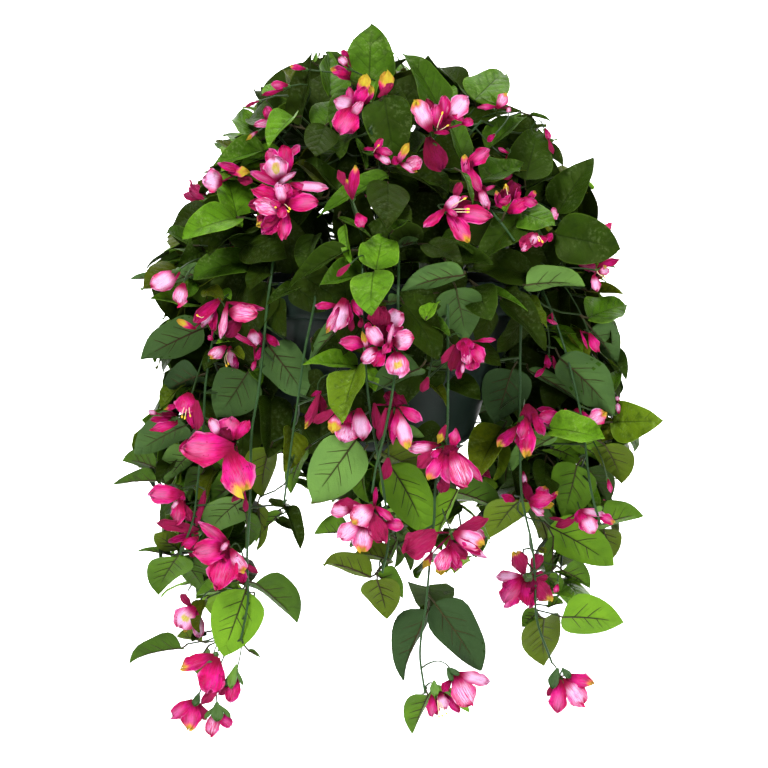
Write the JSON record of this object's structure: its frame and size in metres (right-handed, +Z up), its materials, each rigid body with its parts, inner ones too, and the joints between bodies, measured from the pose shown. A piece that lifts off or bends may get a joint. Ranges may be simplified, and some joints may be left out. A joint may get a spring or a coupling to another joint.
{
  "type": "azalea hanging basket",
  "caption": "Artificial flowering azalea in a round dark green hanging pot: a leafy dome above the rim and flowering vines that trail far below it on every side.",
  "frame": {"origin": "centre of the pot rim's top plane, where the basket is held from above", "axes": "+Z up along the pot's axis; the side with the fullest front vines faces -Y; +X to the viewer's right from the front"},
  "size_m": [0.4543, 0.3829, 0.5745],
  "materials": {
    "pot": "dark green satin gloss, moulded",
    "foam": "dry green floral foam, matt",
    "trunk": "brown moulded plastic trunk",
    "foliage": "printed green cloth leaves with a light sheen on plastic-covered wire stems",
    "petals": "hot pink cloth petals, pale inside, on thin wire stalks"
  },
  "bodies": {
    "root": {"pot_shell": "pot", "foam_fill": "foam", "bush_trunk": "trunk", "vine_01": "foliage", "vine_02": "foliage", "vine_03": "foliage", "vine_04": "foliage", "vine_05": "foliage", "vine_06": "foliage", "vine_07": "foliage", "vine_08": "foliage", "vine_09": "foliage", "vine_10": "foliage", "vine_11": "foliage", "vine_12": "foliage", "vine_13": "foliage", "vine_14": "foliage", "vine_15": "foliage", "vine_16": "foliage", "spray_01": "foliage", "spray_02": "foliage", "spray_03": "foliage", "spray_04": "foliage", "spray_05": "foliage", "spray_06": "foliage", "spray_07": "foliage", "spray_08": "foliage", "spray_09": "foliage", "spray_10": "foliage", "spray_11": "foliage", "spray_12": "foliage", "spray_13": "foliage", "spray_14": "foliage", "spray_15": "foliage", "blossom_01": "petals", "blossom_02": "petals", "blossom_03": "petals", "blossom_04": "petals", "blossom_05": "petals", "blossom_06": "petals", "blossom_07": "petals", "blossom_08": "petals", "blossom_09": "petals", "blossom_10": "petals", "blossom_11": "petals", "blossom_12": "petals", "blossom_13": "petals", "blossom_14": "petals", "blossom_15": "petals", "blossom_16": "petals", "blossom_17": "petals", "blossom_18": "petals", "blossom_19": "petals", "blossom_20": "petals", "blossom_21": "petals", "blossom_22": "petals", "blossom_23": "petals", "blossom_24": "petals", "blossom_25": "petals", "blossom_26": "petals"}
  },
  "joints": []
}
